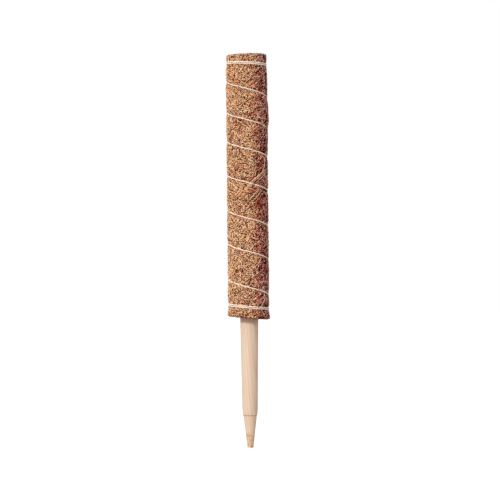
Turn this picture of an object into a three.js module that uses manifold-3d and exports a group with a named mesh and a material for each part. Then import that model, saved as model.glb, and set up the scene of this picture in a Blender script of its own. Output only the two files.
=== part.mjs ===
// A moss pole for climbing plants. A turned wooden stake is nailed into a plastic core tube, a mat of
// coir fibre is rolled once round the tube, and one length of twine binds the mat down. The open top
// of the tube takes the stake of another pole. Millimetres, +Z up, origin at the stake's blunt tip.
import * as THREE from 'three';
import { mergeVertices } from 'three/addons/utils/BufferGeometryUtils.js';
import Module from 'manifold-3d';

// Clearance between pieces that touch on the real pole.
const FIT_GAP = 0.3;

// Stake: a blunt cone, a scored shoulder, a chamfer, a tapered shank and a parallel tenon.
const TIP_DIAMETER = 6;
const POINT_LENGTH = 33;
const POINT_DIAMETER = 13.8;
const SHOULDER_DIAMETER = 14.6;
const CHAMFER_LENGTH = 7;
const SHANK_THIN_DIAMETER = 15.8;
const SHANK_LENGTH = 91.7;
const SHANK_THICK_DIAMETER = 18.6;
const TENON_LENGTH = 45;
const TENON_CHAMFER = 1.5;

// Core tube, which stops short of the mat at both ends.
const TUBE_DIAMETER = 25;
const TUBE_WALL = 2.2;
const TUBE_RECESS = 2;
const TUBE_CHAMFER = 0.5;

// Nails through the tube into the tenon, one from each side: the first is driven the edge distance
// above the tube's mouth, the second the edge distance below the top of the tenon.
const NAIL_DIAMETER = 1.6;
const NAIL_LENGTH = 9;
const NAIL_POINT_LENGTH = 2;
const NAIL_HEAD_DIAMETER = 4;
const NAIL_HEAD_THICKNESS = 0.8;
const NAIL_EDGE_DISTANCE = 13;

// Coir mat: rolled once round the tube, butted along one seam, and drawn in under the twine.
const MAT_LENGTH = 268.3;
const MAT_THICKNESS = 7.95;
const MAT_TOP_ROUND = 2.5;
const MAT_BOTTOM_ROUND = 0.8;
const MAT_SEAM_GAP = 0.5;
const MAT_SEAM_ANGLE = 90;
const MAT_DRAW_IN = 1.5;
const MAT_DRAW_IN_REACH = 4;

// Twine: a close band at each end of the mat and a left-handed winding between the bands.
const TWINE_DIAMETER = 1.1;
const TWINE_START_ANGLE = 45;
const BAND_TURNS = 2;
const BAND_STRAND_GAP = 0.45;
const TOP_BAND_INSET = 7.7;
const TOP_BAND_TILT = 0.8;
const BOTTOM_BAND_INSET = 10.2;
const BOTTOM_BAND_TILT = 1.7;
// The winding passes over the viewer's half of the pole once a turn, and each pass drops alike. Behind
// the pole it drops unevenly: before the first pass, between the passes, and after the last one.
const PASS_DROP = 17;
const BACK_DROPS = [16.2, 14.4, 12.3, 17.1, 18.8, 16.7, 19.1, 10.2];
const LAST_BACK_TURN = 0.375;

// Knots that tie the twine off over the bands. Each is a trefoil of the same twine, drawn up on a ring
// so many strands in radius, with a wave of so many strands to each side.
const KNOT_STRAND_GAP = 0.1;
const KNOT_RING_STRANDS = 1.2;
const KNOT_WAVE_STRANDS = 0.55;

// Slivers thinner than this are taken out of the cut solids.
const SLIVER = 0.01;

// Facets: the mat's columns follow the steps of the twine, so that the twine lies evenly in its groove.
const ROUND_SIDES = 32;
const TURN_STEPS = 24;
const TWINE_SIDES = 6;
const KNOT_STEPS = 42;
const NAIL_SIDES = 12;
const MAT_ROW_HEIGHT = 3;
const MAT_EDGE_STEPS = 3;

// Heights and radii that follow from the sizes above.
const matBottom = POINT_LENGTH + CHAMFER_LENGTH + SHANK_LENGTH;
const matTop = matBottom + MAT_LENGTH;
const tubeBottom = matBottom + TUBE_RECESS;
const tubeTop = matTop - TUBE_RECESS;
const tenonTop = tubeBottom + TENON_LENGTH;
const tubeRadius = TUBE_DIAMETER / 2;
const boreRadius = tubeRadius - TUBE_WALL;
const tenonRadius = boreRadius - FIT_GAP;
const matInnerRadius = tubeRadius + FIT_GAP;
const matOuterRadius = matInnerRadius + MAT_THICKNESS;
const twineRadius = TWINE_DIAMETER / 2;
const windingRadius = matOuterRadius - MAT_DRAW_IN + FIT_GAP + twineRadius;
const knotStrand = TWINE_DIAMETER + KNOT_STRAND_GAP;
const knotRing = KNOT_RING_STRANDS * knotStrand;
const knotWave = KNOT_WAVE_STRANDS * knotStrand;

const wasm = await Module();
wasm.setup();

// A closed geometry as a solid that can be cut.
function solidOf(geometry) {
  const bare = geometry.clone();
  bare.deleteAttribute('normal');
  bare.deleteAttribute('uv');
  const merged = mergeVertices(bare);
  const mesh = new wasm.Mesh({
    numProp: 3,
    vertProperties: merged.attributes.position.array,
    triVerts: new Uint32Array(merged.index.array),
  });
  return new wasm.Manifold(mesh);
}

// A solid as a geometry that a mesh can show, without the slivers that a cut leaves.
function geometryOf(solid) {
  const mesh = solid.simplify(SLIVER).getMesh();
  const geometry = new THREE.BufferGeometry();
  geometry.setAttribute('position', new THREE.BufferAttribute(mesh.vertProperties, mesh.numProp));
  geometry.setIndex(new THREE.BufferAttribute(mesh.triVerts, 1));
  geometry.computeVertexNormals();
  return geometry;
}

// A profile of [radius, height] pairs turned about the Z axis.
function turned(profile, sides = ROUND_SIDES) {
  const points = profile.map(([radius, height]) => new THREE.Vector2(radius, height));
  return new THREE.LatheGeometry(points, sides).rotateX(Math.PI / 2);
}

// A round bar lying along X, between two distances from the Z axis, at a height and a turn about Z.
function crossBar(radius, from, to, height, turn) {
  const bar = new THREE.CylinderGeometry(radius, radius, to - from, NAIL_SIDES);
  return bar.rotateZ(Math.PI / 2).translate((from + to) / 2, 0, height).rotateZ(turn);
}

// A tube of twine along a curve.
function twineAlong(curve, steps) {
  const section = new THREE.Shape();
  for (let side = 0; side < TWINE_SIDES; side++) {
    const angle = (2 * Math.PI * side) / TWINE_SIDES;
    const point = [twineRadius * Math.cos(angle), twineRadius * Math.sin(angle)];
    if (side === 0) section.moveTo(...point);
    else section.lineTo(...point);
  }
  section.closePath();
  return new THREE.ExtrudeGeometry(section, { steps, extrudePath: curve });
}

// The path of the twine is told by turns from its start: first the top band, then the winding, then
// the bottom band.
const bandPitch = TWINE_DIAMETER + BAND_STRAND_GAP;
const startAngle = THREE.MathUtils.degToRad(TWINE_START_ANGLE);
const topBandStart = matTop - TOP_BAND_INSET;
const topBandEnd = topBandStart - BAND_TURNS * bandPitch;
const bottomBandEnd = matBottom + BOTTOM_BAND_INSET;
const bottomBandStart = bottomBandEnd + BAND_TURNS * bandPitch;

// The legs of the winding, behind the pole and over its front by turns.
const windingLegs = BACK_DROPS.flatMap((drop, back) => {
  const front = { turns: 0.5, drop: PASS_DROP };
  if (back === 0) return [{ turns: 0.5 - TWINE_START_ANGLE / 360, drop }, front];
  if (back === BACK_DROPS.length - 1) return [{ turns: LAST_BACK_TURN, drop }];
  return [{ turns: 0.5, drop }, front];
});
const windingTurns = windingLegs.reduce((sum, leg) => sum + leg.turns, 0);
const windingDrop = windingLegs.reduce((sum, leg) => sum + leg.drop, 0);
const allTurns = BAND_TURNS + windingTurns + BAND_TURNS;

// How far down the winding the twine has come after some turns of it, from 0 to 1.
function windingShare(turns) {
  let from = 0;
  let done = 0;
  for (const leg of windingLegs) {
    done += leg.drop * THREE.MathUtils.clamp((turns - from) / leg.turns, 0, 1);
    from += leg.turns;
  }
  return done / windingDrop;
}

// How far the twine is off its level where the bands lie askew, lower on the viewer's right. The first
// leg leads out of the top band, and the last leg leads into the bottom band.
function bandSkew(turns) {
  const windingEnd = BAND_TURNS + windingTurns;
  const left = THREE.MathUtils.smoothstep(turns, BAND_TURNS, BAND_TURNS + windingLegs[0].turns);
  const joined = THREE.MathUtils.smoothstep(turns, windingEnd - LAST_BACK_TURN, windingEnd);
  const tilt = TOP_BAND_TILT * (1 - left) + BOTTOM_BAND_TILT * joined;
  return -tilt * Math.cos(startAngle + 2 * Math.PI * turns);
}

// The height of the twine's middle after some turns.
function twineHeight(turns) {
  const wound = turns - BAND_TURNS;
  const before = Math.max(0, -wound);
  const after = Math.max(0, wound - windingTurns);
  const level = THREE.MathUtils.lerp(topBandEnd, bottomBandStart, windingShare(wound));
  return level + bandPitch * (before - after) + bandSkew(turns);
}

// The twine's middle line, in equal steps of turn.
class TwinePath extends THREE.Curve {
  getPoint(share, target = new THREE.Vector3()) {
    const turns = share * allTurns;
    const angle = startAngle + 2 * Math.PI * turns;
    const x = windingRadius * Math.cos(angle);
    const y = windingRadius * Math.sin(angle);
    return target.set(x, y, twineHeight(turns));
  }

  getPointAt(share, target) {
    return this.getPoint(share, target);
  }
}

// A knot's middle line: a trefoil that lies flat, with its thickness along Z.
class KnotPath extends THREE.Curve {
  getPoint(share, target = new THREE.Vector3()) {
    const angle = 2 * Math.PI * share;
    const radius = knotRing + knotWave * Math.cos(3 * angle);
    const x = radius * Math.cos(2 * angle);
    const y = radius * Math.sin(2 * angle);
    return target.set(x, y, knotWave * Math.sin(3 * angle));
  }
}

// The least gap that the wound twine leaves to itself, measured on points of its middle line.
function leastTwineGap() {
  const path = new TwinePath();
  const pointsPerTurn = 72;
  const points = path.getPoints(Math.round(allTurns * pointsPerTurn));
  let least = Infinity;
  for (let i = 0; i < points.length; i++) {
    for (let j = i + pointsPerTurn / 2; j < points.length; j++) {
      least = Math.min(least, points[i].distanceTo(points[j]));
    }
  }
  return least - TWINE_DIAMETER;
}

// How far the twine draws the mat in at an angle and a height: a groove with a flat floor one row wide.
function drawIn(angle, height) {
  const full = 2 * Math.PI;
  const firstTurn = THREE.MathUtils.euclideanModulo(angle - startAngle, full) / full;
  let nearest = Infinity;
  for (let turns = firstTurn; turns <= allTurns; turns++) {
    nearest = Math.min(nearest, Math.abs(height - twineHeight(turns)));
  }
  const pastFloor = Math.max(0, nearest - MAT_ROW_HEIGHT / 2);
  return MAT_DRAW_IN * Math.exp(-((pastFloor / MAT_DRAW_IN_REACH) ** 2));
}

// The nails' places: height up the pole and turn about it.
const nailPlaces = [
  { height: tubeBottom + NAIL_EDGE_DISTANCE, turn: 0 },
  { height: tenonTop - NAIL_EDGE_DISTANCE, turn: Math.PI },
];
const nailSeat = tubeRadius + FIT_GAP;
const nailTip = nailSeat - NAIL_LENGTH;

// Takes the nails' holes out of a piece that they are driven through.
function withNailHoles(geometry) {
  const reach = nailSeat + FIT_GAP;
  return nailPlaces.reduce((solid, { height, turn }) => {
    const hole = crossBar(NAIL_DIAMETER / 2 + FIT_GAP, nailTip - FIT_GAP, reach, height, turn);
    return solid.subtract(solidOf(hole));
  }, solidOf(geometry));
}

function groundStake() {
  const shankTop = tubeBottom - FIT_GAP;
  const profile = [
    [0, 0],
    [TIP_DIAMETER / 2, 0],
    [POINT_DIAMETER / 2, POINT_LENGTH],
    [SHOULDER_DIAMETER / 2, POINT_LENGTH],
    [SHANK_THIN_DIAMETER / 2, POINT_LENGTH + CHAMFER_LENGTH],
    [SHANK_THICK_DIAMETER / 2, matBottom],
    [SHANK_THICK_DIAMETER / 2, shankTop],
    [tenonRadius, shankTop],
    [tenonRadius, tenonTop - TENON_CHAMFER],
    [tenonRadius - TENON_CHAMFER, tenonTop],
    [0, tenonTop],
  ];
  return geometryOf(withNailHoles(turned(profile)));
}

function coreTube() {
  const profile = [
    [boreRadius, tubeBottom],
    [tubeRadius - TUBE_CHAMFER, tubeBottom],
    [tubeRadius, tubeBottom + TUBE_CHAMFER],
    [tubeRadius, tubeTop - TUBE_CHAMFER],
    [tubeRadius - TUBE_CHAMFER, tubeTop],
    [boreRadius, tubeTop],
    [boreRadius, tubeBottom],
  ];
  return geometryOf(withNailHoles(turned(profile)));
}

// A nail along Z, with the underside of its head at zero.
function nail() {
  const profile = [
    [0, -NAIL_LENGTH],
    [NAIL_DIAMETER / 2, NAIL_POINT_LENGTH - NAIL_LENGTH],
    [NAIL_DIAMETER / 2, 0],
    [NAIL_HEAD_DIAMETER / 2, 0],
    [NAIL_HEAD_DIAMETER / 2, NAIL_HEAD_THICKNESS],
    [0, NAIL_HEAD_THICKNESS],
  ];
  return turned(profile, NAIL_SIDES);
}

// A quarter round between the mat's outer wall and one of its ends, as [radius, height] pairs.
function matEdge(end, round, inward) {
  const edge = [];
  for (let step = 0; step <= MAT_EDGE_STEPS; step++) {
    const angle = (Math.PI / 2) * (step / MAT_EDGE_STEPS);
    const radius = matOuterRadius - round * (1 - Math.sin(angle));
    edge.push([radius, end + inward * round * (1 - Math.cos(angle))]);
  }
  return edge;
}

function coirMat() {
  const lower = matEdge(matBottom, MAT_BOTTOM_ROUND, 1);
  const upper = matEdge(matTop, MAT_TOP_ROUND, -1).reverse();
  const wallFrom = matBottom + MAT_BOTTOM_ROUND;
  const wallTo = matTop - MAT_TOP_ROUND;
  const rows = Math.round((wallTo - wallFrom) / MAT_ROW_HEIGHT);
  const wall = [];
  for (let row = 1; row < rows; row++) {
    wall.push([matOuterRadius, THREE.MathUtils.lerp(wallFrom, wallTo, row / rows)]);
  }
  const inner = [matInnerRadius, matBottom];
  const profile = [inner, ...lower, ...wall, ...upper, [matInnerRadius, matTop], inner];
  const roll = turned(profile, TURN_STEPS).rotateZ(startAngle);

  const position = roll.getAttribute('position');
  const point = new THREE.Vector3();
  for (let i = 0; i < position.count; i++) {
    point.fromBufferAttribute(position, i);
    const radius = Math.hypot(point.x, point.y);
    if (radius < matInnerRadius + MAT_THICKNESS / 2) continue;
    const drawn = (radius - drawIn(Math.atan2(point.y, point.x), point.z)) / radius;
    position.setXYZ(i, point.x * drawn, point.y * drawn, point.z);
  }

  const seam = new THREE.BoxGeometry(matOuterRadius, MAT_SEAM_GAP, 2 * MAT_LENGTH);
  seam.translate(matOuterRadius / 2 + tubeRadius / 2, 0, matBottom);
  seam.rotateZ(THREE.MathUtils.degToRad(MAT_SEAM_ANGLE));
  const open = solidOf(roll).subtract(solidOf(seam));
  return geometryOf(nailPlaces.reduce((solid, { height, turn }) => {
    const to = nailSeat + NAIL_HEAD_THICKNESS + FIT_GAP;
    const pocket = crossBar(NAIL_HEAD_DIAMETER / 2 + FIT_GAP, tubeRadius / 2, to, height, turn);
    return solid.subtract(solidOf(pocket));
  }, open));
}

function bindingTwine() {
  return twineAlong(new TwinePath(), Math.round(allTurns * TURN_STEPS));
}

// A closed trefoil of twine: its last ring of points meets its first.
function knot() {
  const path = new KnotPath();
  const positions = [];
  const indices = [];
  const frames = path.computeFrenetFrames(KNOT_STEPS, true);
  for (let step = 0; step < KNOT_STEPS; step++) {
    const middle = path.getPointAt(step / KNOT_STEPS);
    for (let side = 0; side < TWINE_SIDES; side++) {
      const angle = (2 * Math.PI * side) / TWINE_SIDES;
      const point = middle.clone();
      point.addScaledVector(frames.normals[step], twineRadius * Math.cos(angle));
      point.addScaledVector(frames.binormals[step], twineRadius * Math.sin(angle));
      positions.push(...point.toArray());
      const next = ((step + 1) % KNOT_STEPS) * TWINE_SIDES;
      const beside = (side + 1) % TWINE_SIDES;
      const here = step * TWINE_SIDES;
      indices.push(here + side, here + beside, next + side);
      indices.push(next + side, here + beside, next + beside);
    }
  }
  const geometry = new THREE.BufferGeometry();
  geometry.setAttribute('position', new THREE.Float32BufferAttribute(positions, 3));
  geometry.setIndex(indices);
  geometry.computeVertexNormals();
  return geometry;
}

const finishes = {
  wood: new THREE.MeshStandardMaterial({ color: 0xe2c9b2, roughness: 0.7, metalness: 0 }),
  plastic: new THREE.MeshStandardMaterial({ color: 0xd9d8d2, roughness: 0.45, metalness: 0 }),
  steel: new THREE.MeshStandardMaterial({ color: 0x9a9a98, roughness: 0.4, metalness: 1 }),
  coir: new THREE.MeshStandardMaterial({ color: 0xa87a56, roughness: 0.95, metalness: 0 }),
  twine: new THREE.MeshStandardMaterial({ color: 0xf1dcc4, roughness: 0.8, metalness: 0 }),
};

const pole = new THREE.Group();

function addPiece(name, geometry, finish, parent = pole) {
  const mesh = new THREE.Mesh(geometry, finishes[finish]);
  mesh.name = name;
  parent.add(mesh);
  return mesh;
}

addPiece('ground_stake', groundStake(), 'wood');
addPiece('core_tube', coreTube(), 'plastic');
addPiece('coir_mat', coirMat(), 'coir');
addPiece('binding_twine', bindingTwine(), 'twine');

nailPlaces.forEach(({ height, turn }, index) => {
  const side = new THREE.Group();
  side.rotation.z = turn;
  side.position.z = height;
  pole.add(side);
  const mesh = addPiece(`stake_nail_${index + 1}`, nail(), 'steel', side);
  mesh.rotation.y = Math.PI / 2;
  mesh.position.x = nailSeat;
});

// Each knot lies flat over the two strands of its band, where the twine's end is.
const knotSeat = windingRadius + twineRadius + FIT_GAP + knotWave + twineRadius;
const knotPlaces = [
  { name: 'top_knot', height: twineHeight(0) - bandPitch / 2, turns: 0 },
  { name: 'bottom_knot', height: twineHeight(allTurns) + bandPitch / 2, turns: allTurns },
];
knotPlaces.forEach(({ name, height, turns }) => {
  const side = new THREE.Group();
  side.rotation.z = startAngle + 2 * Math.PI * turns;
  side.position.z = height;
  pole.add(side);
  const mesh = addPiece(name, knot(), 'twine', side);
  mesh.rotation.y = Math.PI / 2;
  mesh.position.x = knotSeat;
});

console.log(`least gap of the twine to itself: ${leastTwineGap().toFixed(2)} mm`);

export default pole;
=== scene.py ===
"""Moss pole: a turned wooden stake, a hollow core tube, a sleeve of matted coir and its binding twine.

Everything is in metres in the part's own frame: +Z runs up the pole from the stake's tip, and -Y faces
the viewer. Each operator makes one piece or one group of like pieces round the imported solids.
"""

import math
from dataclasses import dataclass

import bmesh
import bpy
import numpy as np
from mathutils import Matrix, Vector, noise


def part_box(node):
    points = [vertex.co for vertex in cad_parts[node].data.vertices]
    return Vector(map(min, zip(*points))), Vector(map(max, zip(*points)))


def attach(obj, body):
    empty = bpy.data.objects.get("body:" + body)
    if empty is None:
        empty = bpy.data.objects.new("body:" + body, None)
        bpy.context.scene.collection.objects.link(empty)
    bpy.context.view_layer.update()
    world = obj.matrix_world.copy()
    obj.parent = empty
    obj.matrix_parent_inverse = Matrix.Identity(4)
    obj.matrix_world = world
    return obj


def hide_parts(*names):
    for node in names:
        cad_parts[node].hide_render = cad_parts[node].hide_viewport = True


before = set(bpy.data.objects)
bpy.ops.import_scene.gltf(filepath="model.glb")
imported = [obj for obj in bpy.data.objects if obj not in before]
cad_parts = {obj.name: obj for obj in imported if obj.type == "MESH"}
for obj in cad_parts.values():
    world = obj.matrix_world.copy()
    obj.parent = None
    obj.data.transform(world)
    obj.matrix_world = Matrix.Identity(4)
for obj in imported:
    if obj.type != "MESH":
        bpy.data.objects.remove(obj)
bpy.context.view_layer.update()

bl_info = {
    "name": "Moss Pole",
    "version": (1, 0, 0),
    "blender": (4, 5, 0),
    "location": "3D View > Sidebar > Moss Pole",
    "description": "Builds a coir moss pole on a wooden stake",
    "category": "Add Mesh",
}

MM = 0.001
FULL_TURN = 2 * math.pi
BODY = "root"

# Sides of a turned piece, the distance within which points are merged, and the room left between pieces.
ROUND_SIDES = 96
WELD = 0.001 * MM
ROOM = 0.3 * MM

# The map that holds a strand's shade and run, and the width of a strand's own patch on it.
STRAND_MAP = "OFBake"
STRAND_MAP_WIDTH = 0.012

STAKE_LOW, STAKE_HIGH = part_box("ground_stake")
TUBE_LOW, TUBE_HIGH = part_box("core_tube")
MAT_LOW, MAT_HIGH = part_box("coir_mat")
TWINE_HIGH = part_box("binding_twine")[1]


# Settings


def srgb(red, green, blue):
    """A colour given in 0-255 display values, as the scene-linear numbers that a shader takes."""
    shares = (value / 255 for value in (red, green, blue))
    return tuple(s / 12.92 if s <= 0.04045 else ((s + 0.055) / 1.055) ** 2.4 for s in shares)


def length(name, description, default):
    """A size in metres that shows with its unit."""
    return bpy.props.FloatProperty(
        name=name, description=description, default=default, unit="LENGTH", precision=5
    )


def angle(name, description, degrees):
    """An angle, given in degrees."""
    return bpy.props.FloatProperty(
        name=name, description=description, default=math.radians(degrees), subtype="ANGLE"
    )


def colour(name, description, red, green, blue):
    """A colour, given in 0-255 display values."""
    return bpy.props.FloatVectorProperty(
        name=name, description=description, default=srgb(red, green, blue), subtype="COLOR",
        size=3, min=0, max=1,
    )


def share(name, description, default):
    """A share from 0 to 1."""
    return bpy.props.FloatProperty(
        name=name, description=description, default=default, subtype="FACTOR", min=0, max=1
    )


def amount(name, description, default):
    """A plain number."""
    return bpy.props.FloatProperty(name=name, description=description, default=default)


def count(name, description, default):
    """A whole number."""
    return bpy.props.IntProperty(name=name, description=description, default=default, min=0)


class StakeSettings(bpy.types.PropertyGroup):
    """The turned stake and the tube and nails that hold it."""

    tip_radius: length("Tip radius", "Radius of the blunt tip", 3 * MM)
    point_length: length("Point length", "Height of the cone", 33 * MM)
    point_radius: length("Point radius", "Radius at the top of the cone", 6.9 * MM)
    shoulder_radius: length("Shoulder radius", "Radius of the shoulder over the cone", 7.3 * MM)
    chamfer_length: length("Chamfer length", "Height of the chamfer over the shoulder", 7 * MM)
    thin_radius: length("Thin radius", "Radius at the lower end of the shank", 7.9 * MM)
    thick_radius: length("Thick radius", "Radius where the shank enters the coir", 9.3 * MM)
    tenon_chamfer: length("Tenon chamfer", "Chamfer at the top of the tenon", 1.5 * MM)
    edge_round: length("Edge round", "Rounding of the turned edges", 0.35 * MM)
    tube_wall: length("Tube wall", "Wall of the core tube", 2.2 * MM)
    tube_round: length("Tube round", "Rounding of the tube's edges", 0.5 * MM)
    wood: colour("Wood", "Pale early wood", 222, 198, 175)
    late_wood: colour("Late wood", "Darker bands of the grain", 212, 178, 147)
    blush: colour("Blush", "Pinkish streaks along the grain", 220, 187, 164)
    tip: colour("Tip", "Warmer end grain towards the tip", 229, 196, 164)
    stain: colour("Stain", "Stained end grain at the tip", 190, 136, 84)
    # Painted shadow: the colour of the dark line at the shoulder step.
    shoulder_shadow: colour("Score", "Scored line under the shoulder", 172, 132, 100)
    # Painted shade: the warm darkening of the wood under the sleeve, and how far down it reaches.
    under_sleeve_shade: colour("Dust", "Coir dust on the wood under the sleeve", 196, 146, 100)
    under_sleeve_reach: length("Dust reach", "How far below the sleeve the dust fades", 7 * MM)
    plastic: colour("Plastic", "Core tube", 206, 202, 192)
    steel: colour("Steel", "Nails", 154, 154, 152)


class TwineSettings(bpy.types.PropertyGroup):
    """The route of the binding twine, as the solid of it runs, and its lay, fuzz and knots."""

    radius: length("Radius", "Radius of the twine", 0.55 * MM)
    start_angle: angle("Start angle", "Where the twine starts, round the pole from +X", 45)
    band_turns: count("Band turns", "Close turns at each end", 2)
    band_pitch: length("Band pitch", "Drop of each close turn", 1.55 * MM)
    top_inset: length("Top inset", "From the top of the coir to the start of the twine", 7.7 * MM)
    top_tilt: length("Top tilt", "How far the top band lies askew", 0.8 * MM)
    bottom_inset: length("Bottom inset", "From the end of the twine to the foot of the coir", 10.2 * MM)
    bottom_tilt: length("Bottom tilt", "How far the bottom band lies askew", 1.7 * MM)
    pass_drop: length("Pass drop", "Drop of each pass over the front", 17 * MM)
    back_drops: bpy.props.FloatVectorProperty(
        name="Back drops", description="Drops behind the pole, before, between and after the passes",
        size=8, unit="LENGTH", precision=5,
        default=[drop * MM for drop in (16.2, 14.4, 12.3, 17.1, 18.8, 16.7, 19.1, 10.2)],
    )
    last_back_turn: share("Last back turn", "The part turn that leads into the bottom band", 0.375)
    plies: count("Plies", "Yarns laid together", 3)
    ply_radius: length("Ply radius", "Radius of a yarn", 0.34 * MM)
    lay_length: length("Lay length", "Length of one twist of the yarns", 4.2 * MM)
    step: length("Step", "Length between points along the twine", 0.6 * MM)
    swell: length("Swell", "How far the loose yarns stand out past the drawn twine", 0.06 * MM)
    fuzz_total: count("Fuzz total", "Short fibres that stand off the twine", 700)
    fuzz_seed: count("Fuzz seed", "Start of the fuzz's random draws", 5)
    knot_ring: length("Knot ring", "Radius of the ring that a knot is drawn up on", 1.44 * MM)
    knot_wave: length("Knot wave", "How far a knot strays from its ring", 0.66 * MM)
    tail: length("Tail", "Drop of the longer loose end below each knot", 14 * MM)
    tail_start: length("Tail start", "How far aside and down from a knot its tails start", 1.2 * MM)
    tail_spread: length("Tail spread", "How far aside a tail leans at its end", 3.5 * MM)
    tail_sway: length("Tail sway", "How far a tail sways on its way down", 0.8 * MM)
    foot_room: length("Foot room", "Least height of a tail's end over the sleeve's foot", 5 * MM)
    pale: colour("Pale", "Crown of the yarns", 255, 244, 229)
    shade: colour("Shade", "Darker fibres in the yarns", 253, 222, 198)


class CoirSettings(bpy.types.PropertyGroup):
    """The sleeve of matted coir: its form under the twine, and its fibres."""

    off_centre: length("Off centre", "How far the sleeve lies to the viewer's left", 0.5 * MM)
    draw_in: length("Draw-in", "How deep the twine pulls the coir in", 0.9 * MM)
    draw_in_floor: length("Draw-in floor", "Half width of the groove's floor", 0.6 * MM)
    draw_in_reach: length("Draw-in reach", "How far from the twine the groove fades", 3.0 * MM)
    top_skew: length("Top skew", "How far the upper end rises to the viewer's right", 0.5 * MM)
    bottom_skew: length("Bottom skew", "How far the lower end falls to the viewer's right", 1.8 * MM)
    foot_lift: length("Foot lift", "How far the lower end is drawn up", 1 * MM)
    skew_reach: length("Skew reach", "How far from its ends the sleeve is askew", 25 * MM)
    top_slim: length("Top slim", "How far the upper end is drawn in", 0.5 * MM)
    slim_reach: length("Slim reach", "How far down the upper end is drawn in", 12 * MM)
    top_round: length("Top round", "Rounding of the upper edge", 2.5 * MM)
    bottom_round: length("Bottom round", "Rounding of the lower edge", 1.2 * MM)
    flare: length("Flare", "How far the lower end spreads below the bottom band", 0.8 * MM)
    flare_reach: length("Flare reach", "How far up the lower end spreads", 5 * MM)
    full: length("Full", "How far the coir stands out at its fuller place on the viewer's right", 1.2 * MM)
    full_height: length("Full height", "Height of the fuller place", 337 * MM)
    full_reach: length("Full reach", "How far up and down the fuller place fades", 18 * MM)
    felt_depth: length("Felt depth", "Depth of the solid felt under the loose surface", 3 * MM)
    felt_lump: length("Felt lump", "Height of the felt's small lumps", 0.25 * MM)
    end_depth: length("End depth", "Depth of the felt under the fibres across each end", 1 * MM)
    slant: angle("Slant", "The way most fibres lie, up from level", 45)
    strand_lift: length("Strand lift", "How far off the sleeve the coarse strands lie", 0.2 * MM)
    strand_bow: length("Strand bow", "How much further their middles stand off", 0.3 * MM)
    # Painted shade: the coir's colour darkens on the side away from the key light and at both ends. These
    # settings say where it falls and how far it reaches.
    shaded_side: angle("Dark side", "Where the coir is darkest, round the pole from +X", -17)
    shade_fall: amount("Dark fall", "How fast the coir lightens away from its dark side", 1.6)
    rim_shade: share("Rim dark", "How dark the coir is at its two ends", 0.6)
    rim_reach: length("Rim reach", "How far from its ends the coir is dark", 1.5 * MM)
    seed: count("Seed", "Start of the random draws", 13)
    # The felt is dark partly as painted shade of the gaps between fibres.
    pit: colour("Pit", "Felt in the gaps between fibres", 46, 18, 12)
    # Painted shade: the dark specks that stand in for the shaded pits between fibres.
    pit_shade: colour("Husk", "What specks of husk leave of a fibre's colour", 110, 56, 28)
    dark: colour("Dark", "Darkest fibres", 100, 8, 16)
    brown: colour("Brown", "Common brown fibres", 206, 92, 80)
    tan: colour("Tan", "Warm tan fibres", 255, 182, 124)
    pale: colour("Pale", "Sun-bleached fibres", 255, 218, 170)
    # Besides the coir's own pinkish fibres, the painted shade tints many fibres on the side away from the
    # key light towards this colour.
    rosy: colour("Rosy", "Washed-out fibres, most of them on the dark side", 255, 182, 178)
    # The fibres are mixed towards this grey near the top end.
    greyed: colour("Weathered", "Grey of the fibres that lie open at the top end", 158, 158, 144)
    grey_reach: length("Weather reach", "How far down from the top end the fibres are weathered", 3 * MM)


class StageSettings(bpy.types.PropertyGroup):
    """The camera, the light and the floor."""

    distance: length("Distance", "From the camera to the pole", 2.1)
    lens: amount("Lens", "Focal length in millimetres", 148.4)
    height: length("Height", "Height of the camera", 201.3 * MM)
    aside: length("Aside", "How far the camera stands to the right of the pole", 1.4 * MM)
    roll: angle("Roll", "Lean of the picture", 0.55)
    key_azimuth: angle("Key azimuth", "The key light's place, to the viewer's left", 33)
    key_elevation: angle("Key elevation", "The key light's height", 27)
    key_width: angle("Key width", "How wide the key light looks from the pole", 8)
    key_strength: amount("Key strength", "Strength of the key light", 1.95)
    sky: amount("Sky", "Strength of the light from all round", 0.74)
    flag: share("Flag", "Share of the light from all round that a flag on the right keeps off", 0.17)
    floor: colour("Floor", "Floor", 195, 195, 195)
    floor_glow: amount("Floor glow", "What lifts the floor to white where the camera sees it", 0.6)
    floor_size: length("Floor size", "Width of the floor", 8.0)


class PoleSettings(bpy.types.PropertyGroup):
    """All the settings of the pole."""

    stake: bpy.props.PointerProperty(type=StakeSettings)
    twine: bpy.props.PointerProperty(type=TwineSettings)
    coir: bpy.props.PointerProperty(type=CoirSettings)
    stage: bpy.props.PointerProperty(type=StageSettings)


# The winding


def winding_legs(twine):
    """The turns and drops of the winding's legs, behind the pole and over its front by turns."""
    drops = np.full(2 * len(twine.back_drops) - 1, twine.pass_drop)
    drops[::2] = twine.back_drops
    turns = np.full(len(drops), 0.5)
    turns[0] -= twine.start_angle / FULL_TURN
    turns[-1] = twine.last_back_turn
    return turns, drops


def all_turns(twine):
    """Turns of the twine from end to end."""
    return 2 * twine.band_turns + winding_legs(twine)[0].sum()


def smooth_step(part):
    """A ramp from 0 to 1 that starts and ends level."""
    part = np.clip(part, 0, 1)
    return part * part * (3 - 2 * part)


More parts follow.
